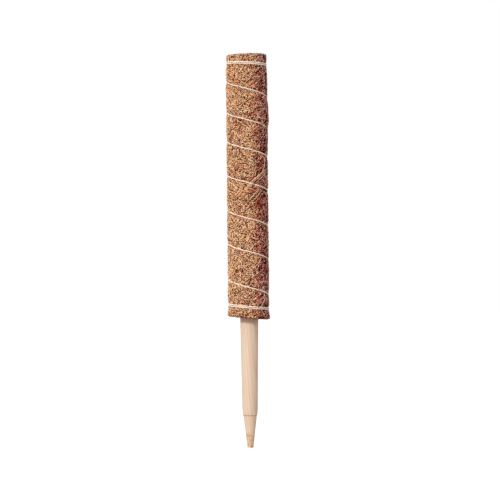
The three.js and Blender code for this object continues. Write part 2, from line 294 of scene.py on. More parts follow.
def twine_height(twine, turns):
    """The height of the twine's middle after some turns from its start."""
    turns = np.asarray(turns, float)
    leg_turns, leg_drops = winding_legs(twine)
    band_drop = twine.band_turns * twine.band_pitch
    winding_top = MAT_HIGH.z - twine.top_inset - band_drop
    winding_foot = MAT_LOW.z + twine.bottom_inset + band_drop
    wound = turns - twine.band_turns
    marks = np.concatenate(([0], np.cumsum(leg_turns)))
    fallen = np.concatenate(([0], np.cumsum(leg_drops))) / leg_drops.sum()
    level = winding_top + (winding_foot - winding_top) * np.interp(wound, marks, fallen)
    before = np.maximum(0, -wound)
    after = np.maximum(0, wound - marks[-1])
    left = smooth_step(wound / leg_turns[0])
    joined = smooth_step((wound - marks[-1]) / leg_turns[-1] + 1)
    tilt = twine.top_tilt * (1 - left) + twine.bottom_tilt * joined
    skew = tilt * np.cos(twine.start_angle + FULL_TURN * turns)
    return level + twine.band_pitch * (before - after) - skew


def winding_radius(twine):
    """The radius of the twine's middle line round the pole."""
    return TWINE_HIGH.x - twine.radius


def from_twine(twine, around, height):
    """How far places on the sleeve lie above or below the nearest turn of twine."""
    last = all_turns(twine)
    first = np.mod((around - twine.start_angle) / FULL_TURN, 1)
    nearest = np.full(np.broadcast(around, height).shape, np.inf)
    for turn in range(math.ceil(last)):
        turns = first + turn
        away = np.abs(height - twine_height(twine, turns))
        nearest = np.where(turns <= last, np.minimum(nearest, away), nearest)
    return nearest


# The surface of the sleeve


def fading(away, reach):
    """A share that falls smoothly from 1 to 0 with the distance away."""
    return np.exp(-((away / reach) ** 2))


def end_round(past, radius):
    """How far a rounded edge of some radius falls back at a distance past where it starts."""
    past = np.clip(past, 0, radius)
    return radius - np.sqrt(radius**2 - past**2)


def lumps(around, height, scale, seed):
    """A smooth random value from -1 to 1 for each place on the sleeve."""
    spots = np.stack(np.broadcast_arrays(np.cos(around), np.sin(around), height), -1).reshape(-1, 3)
    spots = spots * np.array((MAT_HIGH.x, MAT_HIGH.x, 1)) * scale + seed
    values = [noise.noise(Vector(spot)) for spot in spots]
    return np.array(values).reshape(np.broadcast(around, height).shape)


def sleeve_radius(coir, twine, around, height, bridged=0):
    """The radius of the coir's surface at an angle and a height. A bridged share leaves out the grooves."""
    past_floor = np.maximum(0, from_twine(twine, around, height) - coir.draw_in_floor)
    drawn = coir.draw_in * fading(past_floor, coir.draw_in_reach)
    top = end_round(height - (MAT_HIGH.z - coir.top_round), coir.top_round)
    bottom = end_round(MAT_LOW.z + coir.bottom_round - height, coir.bottom_round)
    slim = coir.top_slim * fading(MAT_HIGH.z - height, coir.slim_reach)
    flare = coir.flare * np.exp(-(height - MAT_LOW.z) / coir.flare_reach)
    fuller = coir.full * fading(height - coir.full_height, coir.full_reach)
    fuller = fuller * np.clip(np.cos(around), 0, 1) ** 2
    return MAT_HIGH.x - drawn * (1 - bridged) - top - slim - bottom + flare + fuller


def sleeve_points(coir, twine, around, height, lift, bridged=0):
    """Places on the sleeve, lifted off its surface, as points in the part's frame."""
    radius = sleeve_radius(coir, twine, around, height, bridged) + lift
    x = radius * np.cos(around) - coir.off_centre
    y = radius * np.sin(around)
    near_top = np.clip(1 - (MAT_HIGH.z - height) / coir.skew_reach, 0, None)
    near_foot = np.clip(1 - (height - MAT_LOW.z) / coir.skew_reach, 0, None)
    askew = coir.top_skew * near_top**2 - coir.bottom_skew * near_foot**2
    lifted = height + askew * np.cos(around) + coir.foot_lift * near_foot**2
    return np.stack((x, y, lifted), -1)


# Meshes


def new_object(name, mesh, material):
    """Puts a mesh into the scene as a piece of the pole."""
    piece = bpy.data.objects.new(name, mesh)
    bpy.context.scene.collection.objects.link(piece)
    mesh.materials.append(material)
    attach(piece, BODY)
    return piece


def closed_up(shape, mesh):
    """Writes a bmesh into a mesh, with its seams merged, its faces outwards and its shading smooth."""
    bmesh.ops.remove_doubles(shape, verts=shape.verts, dist=WELD)
    bmesh.ops.recalc_face_normals(shape, faces=shape.faces)
    shape.to_mesh(mesh)
    shape.free()
    mesh.shade_smooth()
    return mesh


def turned_mesh(name, profile, closed):
    """A profile of (radius, height) pairs turned about the pole's axis with bmesh's spin."""
    shape = bmesh.new()
    corners = [shape.verts.new((radius, 0, height)) for radius, height in profile]
    pairs = zip(corners, corners[1:] + corners[:1]) if closed else zip(corners, corners[1:])
    lines = [shape.edges.new(pair) for pair in pairs]
    bmesh.ops.spin(
        shape, geom=corners + lines, cent=(0, 0, 0), axis=(0, 0, 1), dvec=(0, 0, 0),
        angle=FULL_TURN, steps=ROUND_SIDES, use_merge=True,
    )
    return closed_up(shape, bpy.data.meshes.new(name))


def rounded(profile, radius, steps=3):
    """The profile with the corners between its ends rounded, each by an arc that stays near the corner."""
    corners = [Vector((r, 0, z)) for r, z in profile]
    points = [profile[0]]
    for before, corner, after in zip(corners, corners[1:], corners[2:]):
        reach = min(radius, (before - corner).length / 3, (after - corner).length / 3)
        start = corner + (before - corner).normalized() * reach
        end = corner + (after - corner).normalized() * reach
        for step in range(steps + 1):
            part = step / steps
            point = start.lerp(corner, part).lerp(corner.lerp(end, part), part)
            points.append((point.x, point.z))
    points.append(profile[-1])
    return points


def strand_curve(name, paths, radii, resolution):
    """A curve with one line for each path, as thick as its radii."""
    curve = bpy.data.curves.new(name, "CURVE")
    curve.dimensions = "3D"
    curve.bevel_depth = 1
    curve.bevel_resolution = resolution
    curve.use_fill_caps = True
    for path, radius in zip(paths, radii):
        line = curve.splines.new("POLY")
        line.points.add(len(path) - 1)
        line.points.foreach_set("co", np.pad(path, ((0, 0), (0, 1)), constant_values=1).ravel())
        line.points.foreach_set("radius", np.broadcast_to(radius, len(path)).ravel())
    return curve


def strand_mesh(name, paths, radii, shades, resolution=0):
    """One mesh of round strands. Its map holds each strand's shade across and its run upwards."""
    curve = strand_curve(name, paths, radii, resolution)
    maker = bpy.data.objects.new(name, curve)
    bpy.context.scene.collection.objects.link(maker)
    made = maker.evaluated_get(bpy.context.evaluated_depsgraph_get())
    mesh = bpy.data.meshes.new_from_object(made)
    bpy.data.objects.remove(maker)
    bpy.data.curves.remove(curve)
    mesh.name = name
    # A round bevel has four sides, and two more for each step of its resolution.
    sides = 4 + 2 * resolution
    map_strands(mesh, [len(path) for path in paths], shades, sides)
    shape = bmesh.new()
    shape.from_mesh(mesh)
    return closed_up(shape, mesh)


def map_strands(mesh, lengths, shades, sides):
    """Gives a mesh of strands its map. A cap is laid out as a disc, and the rings as a strip.

    The mesh holds the caps first, from the last strand to the first and each far end before its near end,
    and then the rings of every strand in order.
    """
    total = len(lengths)
    strand = np.concatenate((
        np.repeat(np.arange(total)[::-1], 2 * sides),
        np.repeat(np.arange(total), np.array(lengths) * sides),
    ))
    rings = [np.repeat(np.arange(points) / (points - 1), sides) for points in lengths]
    run = np.concatenate((np.tile(np.repeat((1, 0), sides), total), *rings))
    side = np.tile(np.arange(sides) / sides, len(run) // sides)
    in_cap = np.arange(len(run)) < 2 * sides * total
    turn = FULL_TURN * side
    aside = np.where(in_cap, 0.5 + 0.5 * np.cos(turn), side)
    above = np.where(in_cap, 0.5 + 0.5 * np.sin(turn), run)
    shade = np.clip(np.asarray(shades), 0, 1)[strand]
    across = shade + STRAND_MAP_WIDTH * (aside - shade)
    upwards = run + STRAND_MAP_WIDTH * (above - run)
    corner = np.empty(len(mesh.loops), np.int32)
    mesh.loops.foreach_get("vertex_index", corner)
    places = np.stack((across, upwards), -1)[corner].astype(np.float32)
    while mesh.uv_layers:
        mesh.uv_layers.remove(mesh.uv_layers[0])
    mesh.uv_layers.new(name=STRAND_MAP).uv.foreach_set("vector", places.ravel())


# Fibres


@dataclass(frozen=True)
class Layer:
    """A layer of fibres. Lengths are in millimetres, and lifts are from the sleeve's surface."""

    name: str
    total: int
    points: int  # along each fibre
    step: float  # from point to point
    low: float  # least lift
    high: float  # most lift
    thin: float  # least radius
    thick: float  # most radius
    weave: float  # how far a fibre dips and comes up
    curl: float  # how much it bends from step to step
    shade: float  # its middle place among the coir's shades, from 0 to 1
    spread: float  # how much shades differ from fibre to fibre
    drift: float = 0.0  # how far shades move under the painted shade
    rise: float = 0.0  # how far its loose end may stand off
    bridged: float = 0.0  # share of the twine's grooves that it spans
    stray: float = math.pi  # how far it may lie off the slant
    shaded_share: float = 0.48  # share of fibres that the painted shade darkens; the rest take its pinkish tint


# The layers of the sleeve, from the deepest to the loosest.
LAYERS = (
    # The deep layer's near-black shade is partly painted shade of the gaps between fibres.
    Layer("coir_deep", total=2100, points=9, step=2.8, low=-2.8, high=-1.7, thin=0.4, thick=0.55,
          weave=0.2, curl=0.3, shade=0.04, spread=0.06, drift=0.08),
    Layer("coir_middle", total=1700, points=12, step=1.8, low=-1.9, high=-1.1, thin=0.26, thick=0.4,
          weave=0.4, curl=0.35, shade=0.4, spread=0.09, drift=0.4, shaded_share=0.85),
    Layer("coir_lower", total=2900, points=8, step=1.1, low=-1.1, high=-0.65, thin=0.28, thick=0.42,
          weave=0.55, curl=0.5, shade=0.66, spread=0.1, drift=0.55, stray=0.8, shaded_share=0.98),
    Layer("coir_surface", total=2900, points=8, step=1.1, low=-0.8, high=-0.45, thin=0.27, thick=0.4,
          weave=0.55, curl=0.5, shade=0.72, spread=0.08, drift=0.55, stray=0.8, shaded_share=0.8),
    Layer("coir_upper", total=2900, points=8, step=1.1, low=-0.6, high=-0.25, thin=0.25, thick=0.37,
          weave=0.5, curl=0.5, shade=0.75, spread=0.06, drift=0.55, stray=0.8, shaded_share=0.45),
    Layer("coir_crossing", total=1300, points=12, step=1.6, low=-0.35, high=0.1, thin=0.22, thick=0.36,
          weave=0.35, curl=0.25, shade=0.7, spread=0.08, drift=0.4, bridged=0.2, stray=0.6, shaded_share=0.3),
    Layer("coir_long", total=300, points=14, step=2.6, low=-0.5, high=0, thin=0.16, thick=0.32,
          weave=0.3, curl=0.06, shade=0.45, spread=0.38, drift=0.3, bridged=0.6),
    Layer("coir_hairs", total=300, points=12, step=1.8, low=-0.4, high=0.1, thin=0.08, thick=0.14,
          weave=0.4, curl=0.25, shade=0.68, spread=0.15, drift=0.22, bridged=1.0),
    Layer("coir_loose", total=320, points=10, step=1.1, low=-0.6, high=-0.2, thin=0.07, thick=0.13,
          weave=0.1, curl=0.2, shade=0.52, spread=0.22, drift=0.45, rise=2.4),
)

# The layers across its two ends.
TOP_END = Layer("coir_top_end", total=1300, points=9, step=1.5, low=-0.9, high=-0.1, thin=0.2, thick=0.36,
                weave=0.3, curl=0.4, shade=0.6, spread=0.15, drift=0.4)
# The foot end's near-black shade is painted shade on the sleeve's underside.
FOOT_END = Layer("coir_foot_end", total=1300, points=9, step=1.5, low=-0.9, high=0.1, thin=0.2, thick=0.36,
                 weave=0.4, curl=0.4, shade=0.04, spread=0.11)

# How far down a fibre's shade moves with the drift under the painted shade: one that it darkens, and one
# that it tints pinkish.
SHADED_FALL = 1.4
TINTED_FALL = -0.5

# Paler and darker patches of the coir: how far they move the shades, and how many there are to a metre.
PATCH_SHADE = 0.05
PATCHES = 60

# A fibre's dips in radians to a millimetre, and the share of its layer's rise that its end takes.
DIP_RATES = (0.7, 1.7)
RISE_SHARES = (0.2, 1)

# How far from a fibre's ends its taper is held, and the share of the radius that the ends of a fibre and
# of a coarse strand keep.
TAPER_HELD = 0.02
FIBRE_END = 0.45
STRAND_END = 0.4

# Points along a coarse strand.
STRAND_POINTS = 14

# Coarse strands that show on the front: shade, radius, and places across and up in millimetres. The dark
# ones are painted shade: they stand in for the shaded gaps between fibres.
STRANDS = (
    # A bundle that runs up to the right
    (0.80, 0.24, ((-3.0, 262.6), (0.2, 265.6), (4.0, 269.9), (9.1, 274.5), (15.2, 279.5), (19.6, 283.0))),
    (0.80, 0.20, ((-2.4, 261.8), (1.0, 264.9), (4.9, 269.0), (10.0, 273.7), (15.8, 278.6), (19.9, 282.0))),
    (0.84, 0.24, ((1.0, 266.6), (3.6, 270.2), (8.6, 274.9), (14.9, 280.1), (19.2, 284.0))),
    (0.00, 0.34, ((-1.0, 267.2), (2.8, 271.2), (7.8, 275.9), (11.8, 279.4))),
    (0.00, 0.36, ((5.6, 267.6), (9.0, 270.9), (13.2, 274.6))),
    (0.80, 0.22, ((6.2, 267.4), (8.2, 268.9), (12.2, 272.9), (16.3, 276.9), (19.2, 279.6))),
    (0.00, 0.34, ((8.9, 268.1), (12.9, 272.1), (16.9, 276.1))),
    # A thinner bundle below it
    (0.84, 0.20, ((3.9, 249.3), (8.8, 254.6), (14.9, 262.4))),
    (0.00, 0.32, ((5.0, 248.6), (9.8, 253.7), (15.6, 260.8))),
    (0.86, 0.22, ((1.8, 251.8), (5.2, 255.6), (8.4, 259.4), (12.5, 263.1))),
    (0.00, 0.30, ((2.9, 250.9), (6.6, 255.0), (10.4, 259.2), (13.6, 262.6))),
    (0.00, 0.30, ((0.8, 253.0), (4.2, 257.0), (7.4, 260.6))),
    # A pair in the upper part
    (0.08, 0.34, ((-6.6, 345.9), (-0.8, 351.0), (4.6, 355.2))),
    (0.64, 0.24, ((-5.6, 347.6), (-0.4, 352.1), (4.4, 356.0))),
    # Loose ends near the bottom band
    (0.84, 0.26, ((8.4, 170.5), (7.4, 166.4), (6.0, 162.9))),
    (0.84, 0.26, ((16.9, 155.1), (16.4, 152.4), (14.6, 148.0), (12.4, 143.8))),
    (0.84, 0.22, ((17.6, 152.6), (18.7, 151.5), (20.4, 149.4))),
    # An arch, and a curl below it
    (0.03, 0.32, ((-9.2, 284.8), (-8.2, 288.2), (-5.2, 289.2), (-1.8, 288.9), (2.4, 286.2))),
    (0.71, 0.26, ((-8.9, 289.0), (-5.4, 290.2), (-1.6, 289.9), (3.0, 287.0))),
    (0.01, 0.34, ((-7.4, 258.6), (-3.4, 259.6), (2.0, 258.4), (5.0, 258.6), (7.0, 261.4))),
    (0.54, 0.30, ((-7.6, 260.2), (-3.2, 261.0), (2.0, 259.6), (5.2, 260.0))),
    # Short ones in the upper part
    (0.71, 0.26, ((-1.8, 369.8), (2.0, 373.4), (5.3, 376.8))),
    (0.00, 0.30, ((-1.0, 369.2), (2.8, 372.7), (6.0, 376.0))),
    (0.04, 0.32, ((3.3, 338.2), (8.0, 342.4), (12.3, 346.4))),
    # A loop at the top of the bundle, a dark hook under it, and a dark fleck by the bottom band
    (0.84, 0.20, ((14.5, 298.5), (17.3, 293.9), (16.9, 285.6), (14.5, 280.1))),
    (0.02, 0.42, ((9.9, 254.3), (11.0, 248.2), (14.5, 245.2), (10.5, 242.1))),
    (0.00, 0.45, ((-7.9, 147.4), (-6.0, 146.6), (-3.6, 146.3))),
)


def wandering(rng, layer, slant=0):
    """Lines that wander over a plane, each with a bend of its own: their places across and up."""
    total, points, step = layer.total, layer.points, layer.step * MM
    bend = rng.normal(0, layer.curl / 2, (total, 1)) + rng.normal(0, layer.curl, (total, points))
    heading = slant + rng.uniform(-layer.stray, layer.stray, (total, 1)) + np.cumsum(bend, axis=1)
    return np.cumsum(step * np.cos(heading), axis=1), np.cumsum(step * np.sin(heading), axis=1)


def scattered(rng, total, width, height):
    """Places spread evenly but loosely over a plane: one in each cell of a grid, in a mixed order."""
    columns = round(math.sqrt(total * width / height))
    rows = math.ceil(total / columns)
    cells = rng.permutation(columns * rows)[:total]
    across = (cells % columns + rng.random(total)) * width / columns
    up = (cells // columns + rng.random(total)) * height / rows
    return across[:, None], up[:, None]


def folded(values, low, high):
    """The values folded back into a range, as a fibre turns back at the edge of the mat."""
    span = high - low
    past = np.mod(values - low, 2 * span)
    return low + np.where(past > span, 2 * span - past, past)


def tapered(part, end):
    """The share of its radius that a fibre has at parts of its run, down to a smaller share at each end."""
    held = np.clip(part, TAPER_HELD, 1 - TAPER_HELD)
    return end + (1 - end) * np.sqrt(np.sin(math.pi * held))


def fibre_radii(rng, layer):
    """Radii along the fibres of a layer, which differ in thickness and taper at both ends."""
    taper = tapered(np.linspace(0, 1, layer.points), FIBRE_END)
    return rng.uniform(layer.thin * MM, layer.thick * MM, (layer.total, 1)) * taper


def painted_sleeve_shade(coir, around, height):
    """How much painted shade the coir has at places on the sleeve, from 0 to 1: on the side away from the
    key light and at its two ends.
    """
    side = smooth_step(1 - coir.shade_fall * (1 - np.cos(around - coir.shaded_side)))
    to_end = np.minimum(MAT_HIGH.z - height, height - MAT_LOW.z)
    return np.maximum(side, coir.rim_shade * np.exp(-to_end / coir.rim_reach))


def fibre_shades(coir, rng, layer, around, height):
    """The shades of a layer's fibres. Where the painted shade falls, some darken and the rest take its
    pinkish tint.
    """
    fall = np.where(rng.random(layer.total) < layer.shaded_share, SHADED_FALL, TINTED_FALL)
    patch = PATCH_SHADE * lumps(around, height, PATCHES, coir.seed)
    patch = patch - layer.drift * fall * painted_sleeve_shade(coir, around, height)
    return layer.shade + patch + rng.normal(0, layer.spread, layer.total)


def weaving(rng, layer):
    """How far each fibre of a layer lies off the surface, as it dips under others and comes up."""
    each = (layer.total, 1)
    wave = rng.uniform(*DIP_RATES, each) * layer.step * np.arange(layer.points)
    weave = np.sin(rng.uniform(0, FULL_TURN, each) + wave)
    rise = layer.rise * np.linspace(0, 1, layer.points) ** 2 * rng.uniform(*RISE_SHARES, each)
    return (rng.uniform(layer.low, layer.high, each) + layer.weave * weave + rise) * MM


def matted(coir, twine, rng, layer):
    """The fibres of a layer, matted into the sleeve: their paths, radii and shades."""
    across, up = wandering(rng, layer, coir.slant)
    tall = MAT_HIGH.z - MAT_LOW.z
    start_across, start_up = scattered(rng, layer.total, FULL_TURN * MAT_HIGH.x, tall)
    around = (start_across + across) / MAT_HIGH.x
    height = MAT_LOW.z + folded(start_up + up, 0, tall)
    paths = sleeve_points(coir, twine, around, height, weaving(rng, layer), layer.bridged)
    radii = fibre_radii(rng, layer)
    middle = layer.points // 2
    return paths, radii, fibre_shades(coir, rng, layer, around[:, middle], height[:, middle])


def end_matted(coir, rng, layer, end, outwards):
    """The fibres of a layer that lies across one end of the sleeve: their paths, radii and shades."""
    each = (layer.total, 1)
    across, up = wandering(rng, layer)
    bore = TUBE_HIGH.x + layer.thick * MM
    rim = MAT_HIGH.x - layer.thick * MM
    from_axis = np.sqrt(rng.uniform(bore**2, rim**2, each))
    start = rng.uniform(0, FULL_TURN, each)
    x = from_axis * np.cos(start) + across
    y = from_axis * np.sin(start) + up
    around = np.arctan2(y, x)
    radius = folded(np.hypot(x, y), bore, rim)
    edge = coir.top_round if outwards > 0 else coir.bottom_round
    fall = end_round(radius - (MAT_HIGH.x - edge), edge)
    skew = coir.top_skew if outwards > 0 else -coir.bottom_skew
    end = end if outwards > 0 else end + coir.foot_lift
    level = end + outwards * (weaving(rng, layer) - fall) + skew * np.cos(around) * radius / rim
    paths = np.stack((radius * np.cos(around) - coir.off_centre, radius * np.sin(around), level), -1)
    radii = fibre_radii(rng, layer)
    return paths, radii, fibre_shades(coir, rng, layer, around[:, layer.points // 2], end)


def laid_strands(coir, twine):
    """The coarse strands, laid over the front of the sleeve: their paths, radii and shades."""
    part = np.linspace(0, 1, STRAND_POINTS)
    taper = tapered(np.linspace(TAPER_HELD, 1 - TAPER_HELD, STRAND_POINTS), STRAND_END)
    lift = coir.strand_lift + coir.strand_bow * np.sin(math.pi * part)
    paths = []
    for _, _, places in STRANDS:
        across, up = np.array(places).T * MM
        run = np.concatenate(([0], np.cumsum(np.hypot(np.diff(across), np.diff(up)))))
        steps = part * run[-1]
        around = np.arcsin(np.interp(steps, run, across) / MAT_HIGH.x) - math.pi / 2
        paths.append(sleeve_points(coir, twine, around, np.interp(steps, run, up), lift))
    shades, radii, _ = zip(*STRANDS)
    return paths, [radius * MM * taper for radius in radii], shades


# Yarns

# Shades of the yarns, from the first to the last.
YARN_SHADES = (0.35, 0.65)

# The fuzz in millimetres: least and most reach, and least and most radius.
FUZZ_REACH = (1, 2.6)
FUZZ_RADII = (0.035, 0.06)

# Points along a fibre of the fuzz, where it starts as a share of the twine's radius, its least and most
# slope off the twine, how much it droops, the share of its radius at its end, and its shades.
FUZZ_POINTS = 6
FUZZ_ROOT = 0.6
FUZZ_SLOPE = (0.1, 0.7)
FUZZ_DROOP = 0.4
FUZZ_END = 0.5
FUZZ_SHADES = (0.2, 0.8)

# A knot runs twice round its ring while it strays three times from it.
KNOT_POINTS = 73
KNOT_TURNS = 2
KNOT_STRAYS = 3

# A tail: its points, the shorter one's share of the drop, the turn of its sway in radians, how soon it
# comes down on the coir, and how far and over what last part of its run its yarns fray.
TAIL_POINTS = 40
SHORT_TAIL = 0.75
SWAY_TURN = 4
TAIL_SETTLE = 2.2
FRAY = 1.6
FRAY_PART = 1 / 4


def round_pole(around):
    """Directions out from the pole's axis and round it."""
    level = np.zeros_like(around)
    out = np.stack((np.cos(around), np.sin(around), level), -1)
    return out, np.stack((-np.sin(around), np.cos(around), level), -1)


def plied(twine, middle, out, spread=1):
    """The yarns of a twine that follows a middle line: one path for each, twisted about it."""
    along = np.gradient(middle, axis=0)
    along /= np.linalg.norm(along, axis=1, keepdims=True)
    out = out - along * np.sum(out * along, axis=1, keepdims=True)
    out /= np.linalg.norm(out, axis=1, keepdims=True)
    beside = np.cross(along, out)
    run = np.concatenate(([0], np.cumsum(np.linalg.norm(np.diff(middle, axis=0), axis=1))))
    lay = run[-1] / max(1, round(run[-1] / twine.lay_length))
    offset = (twine.radius + twine.swell - twine.ply_radius) * np.broadcast_to(spread, run.shape)
    paths = []
    for ply in range(twine.plies):
        twist = FULL_TURN * (run / lay + ply / twine.plies)
        sway = out * np.cos(twist)[:, None] + beside * np.sin(twist)[:, None]
        paths.append(middle + offset[:, None] * sway)
    return paths


def yarn_piece(name, paths, radius, material):
    """A piece of twine made of yarns."""
    shades = np.linspace(*YARN_SHADES, len(paths))
    mesh = strand_mesh(name, paths, np.full((len(paths), 1), radius), shades, 1)
    return new_object(name, mesh, material)


def knot_seat(twine):
    """How far from the pole's axis the middle of a knot sits."""
    return winding_radius(twine) + 2 * twine.radius + twine.knot_wave + ROOM


def knot(coir, twine, around, height):
    """The yarns of a knot."""
    turn = np.linspace(0, FULL_TURN, KNOT_POINTS)
    ring = twine.knot_ring + twine.knot_wave * np.cos(KNOT_STRAYS * turn)
    out, onward = round_pole(np.full(KNOT_POINTS, around))
    off = knot_seat(twine) + twine.knot_wave * np.sin(KNOT_STRAYS * turn)
    middle = out * off[:, None] + onward * (ring * np.sin(KNOT_TURNS * turn))[:, None]
    middle[:, 0] -= coir.off_centre
    middle[:, 2] = height + ring * np.cos(KNOT_TURNS * turn)
    return plied(twine, middle, out)


def tails(coir, twine, around, height):
    """The yarns of the two loose ends below a knot, which come down on the coir and fray."""
    part = np.linspace(0, 1, TAIL_POINTS)
    drop = min(twine.tail, height - MAT_LOW.z - twine.foot_room)
    lean = twine.tail_start + twine.tail_spread * part + twine.tail_sway * np.sin(SWAY_TURN * part)
    fray = 1 + FRAY * smooth_step((part - 1) / FRAY_PART + 1)
    paths = []
    for side, share_of_drop in ((1, 1), (-1, SHORT_TAIL)):
        turned = around + side * lean / MAT_HIGH.x
        heights = height - twine.tail_start - share_of_drop * drop * part
        rest = sleeve_radius(coir, twine, turned, heights) + 2 * twine.radius
        off = rest + (knot_seat(twine) - rest) * (1 - smooth_step(TAIL_SETTLE * part))
        out, _ = round_pole(turned)
        middle = out * off[:, None]
        middle[:, 0] -= coir.off_centre
        middle[:, 2] = heights
        paths += plied(twine, middle, out, fray)
    return paths


# Shader nodes

# The sockets of a Mix node that mix colours.
MIX_SHARE, MIX_FIRST, MIX_SECOND = 0, 6, 7
MIX_RESULT = 2


def new_material(name):
    """A material with a bare Principled shader: the material, its tree and the shader."""
    material = bpy.data.materials.new(name)
    material.use_nodes = True
    tree = material.node_tree
    return material, tree, tree.nodes["Principled BSDF"]


def feed(tree, node, inputs):
    """Sets a node's inputs to values, or links them to other sockets."""
    for name, value in inputs.items():
        if isinstance(value, bpy.types.NodeSocket):
            tree.links.new(value, node.inputs[name])
        else:
            node.inputs[name].default_value = value


def add_node(tree, kind, inputs=None, **settings):
    """A node with its settings and its inputs."""
    node = tree.nodes.new(kind)
    for name, value in settings.items():
        setattr(node, name, value)
    feed(tree, node, inputs or {})
    return node


def opaque(tone):
    """A colour with full alpha. A colour socket stays as it is."""
    return tone if isinstance(tone, bpy.types.NodeSocket) else (*tone, 1)


def dimmed(tone, part):
    """A darker tint of a colour."""
    return tuple(part * value for value in tone)


def mixed(tree, part, first, second, blend="MIX"):
    """A colour between two colours or colour sockets."""
    inputs = {MIX_SHARE: part, MIX_FIRST: opaque(first), MIX_SECOND: opaque(second)}
    mix = add_node(tree, "ShaderNodeMix", inputs, data_type="RGBA", blend_type=blend)
    return mix.outputs[MIX_RESULT]


def ranged(tree, value, source, target=(0, 1)):
    """A value carried from one range to another, kept inside it."""
    return add_node(tree, "ShaderNodeMapRange", {
        "Value": value, "From Min": source[0], "From Max": source[1],
        "To Min": target[0], "To Max": target[1],
    }).outputs["Result"]


def worked(tree, operation, *values):
    """The result of one step of arithmetic on values or value sockets."""
    return add_node(tree, "ShaderNodeMath", dict(enumerate(values)), operation=operation).outputs[0]


def ramp(tree, part, tones):
    """A colour ramp through evenly spaced tones."""
    node = add_node(tree, "ShaderNodeValToRGB", {"Fac": part})
    elements = node.color_ramp.elements
    while len(elements) < len(tones):
        elements.new(1)
    for place, (element, tone) in enumerate(zip(elements, tones)):
        element.position = place / (len(tones) - 1)
        element.color = (*tone, 1)
    return node.outputs["Color"]


def object_places(tree, stretch=(1, 1, 1), turn=(0, 0, 0)):
    """Object coordinates, stretched and then turned."""
    source = add_node(tree, "ShaderNodeTexCoord")
    return add_node(tree, "ShaderNodeMapping", {
        "Vector": source.outputs["Object"], "Scale": stretch, "Rotation": turn,
    }).outputs["Vector"]


def object_height(tree):
    """The height up the pole."""
    return add_node(tree, "ShaderNodeSeparateXYZ", {"Vector": object_places(tree)}).outputs["Z"]


def noise_field(tree, scale, detail, **places):
    """A noise over Object coordinates, which may be stretched and turned."""
    return add_node(tree, "ShaderNodeTexNoise", {
        "Vector": object_places(tree, **places), "Scale": scale, "Detail": detail,
    }).outputs["Fac"]


def streaks_group():
    """A shared effect: streaks along the pole's axis, as fine lines and as broad bands."""
    name = "Pole streaks"
    if name in bpy.data.node_groups:
        return bpy.data.node_groups[name]
    tree = bpy.data.node_groups.new(name, "ShaderNodeTree")
    for socket, default in (("Fineness", 900.0), ("Stretch", 0.03)):
        made = tree.interface.new_socket(socket, in_out="INPUT", socket_type="NodeSocketFloat")
        made.default_value = default
    for socket in ("Fine", "Broad"):
        tree.interface.new_socket(socket, in_out="OUTPUT", socket_type="NodeSocketFloat")
    given = add_node(tree, "NodeGroupInput").outputs
    result = add_node(tree, "NodeGroupOutput")
    source = add_node(tree, "ShaderNodeTexCoord")
    stretch = add_node(tree, "ShaderNodeCombineXYZ", {"X": 1, "Y": 1, "Z": given["Stretch"]})
    places = add_node(tree, "ShaderNodeVectorMath", {
        0: source.outputs["Object"], 1: stretch.outputs["Vector"],
    }, operation="MULTIPLY")
    for socket, coarser, detail in (("Fine", 1.0, 3.0), ("Broad", 0.22, 2.0)):
        scale = worked(tree, "MULTIPLY", given["Fineness"], coarser)
        field = add_node(tree, "ShaderNodeTexNoise", {
            "Vector": places.outputs["Vector"], "Scale": scale, "Detail": detail,
        })
        feed(tree, result, {socket: field.outputs["Fac"]})
    return tree


def streaks(tree, fineness, stretch):
    """The streaks effect placed in a material: its fine and its broad output."""
    inputs = {"Fineness": fineness, "Stretch": stretch}
    made = add_node(tree, "ShaderNodeGroup", inputs, node_tree=streaks_group())
    return made.outputs["Fine"], made.outputs["Broad"]


def bumped(tree, height, strength, distance):
    """A normal that a height raises."""
    return add_node(tree, "ShaderNodeBump", {
        "Height": height, "Strength": strength, "Distance": distance,
    }).outputs["Normal"]


def background_rays(tree):
    """1 for rays that show the background, and 0 for rays that only light the pole."""
    path = add_node(tree, "ShaderNodeLightPath").outputs
    seen = worked(tree, "MAXIMUM", path["Is Camera Ray"], path["Is Glossy Ray"])
    return worked(tree, "MAXIMUM", seen, path["Is Transmission Ray"])


# Materials


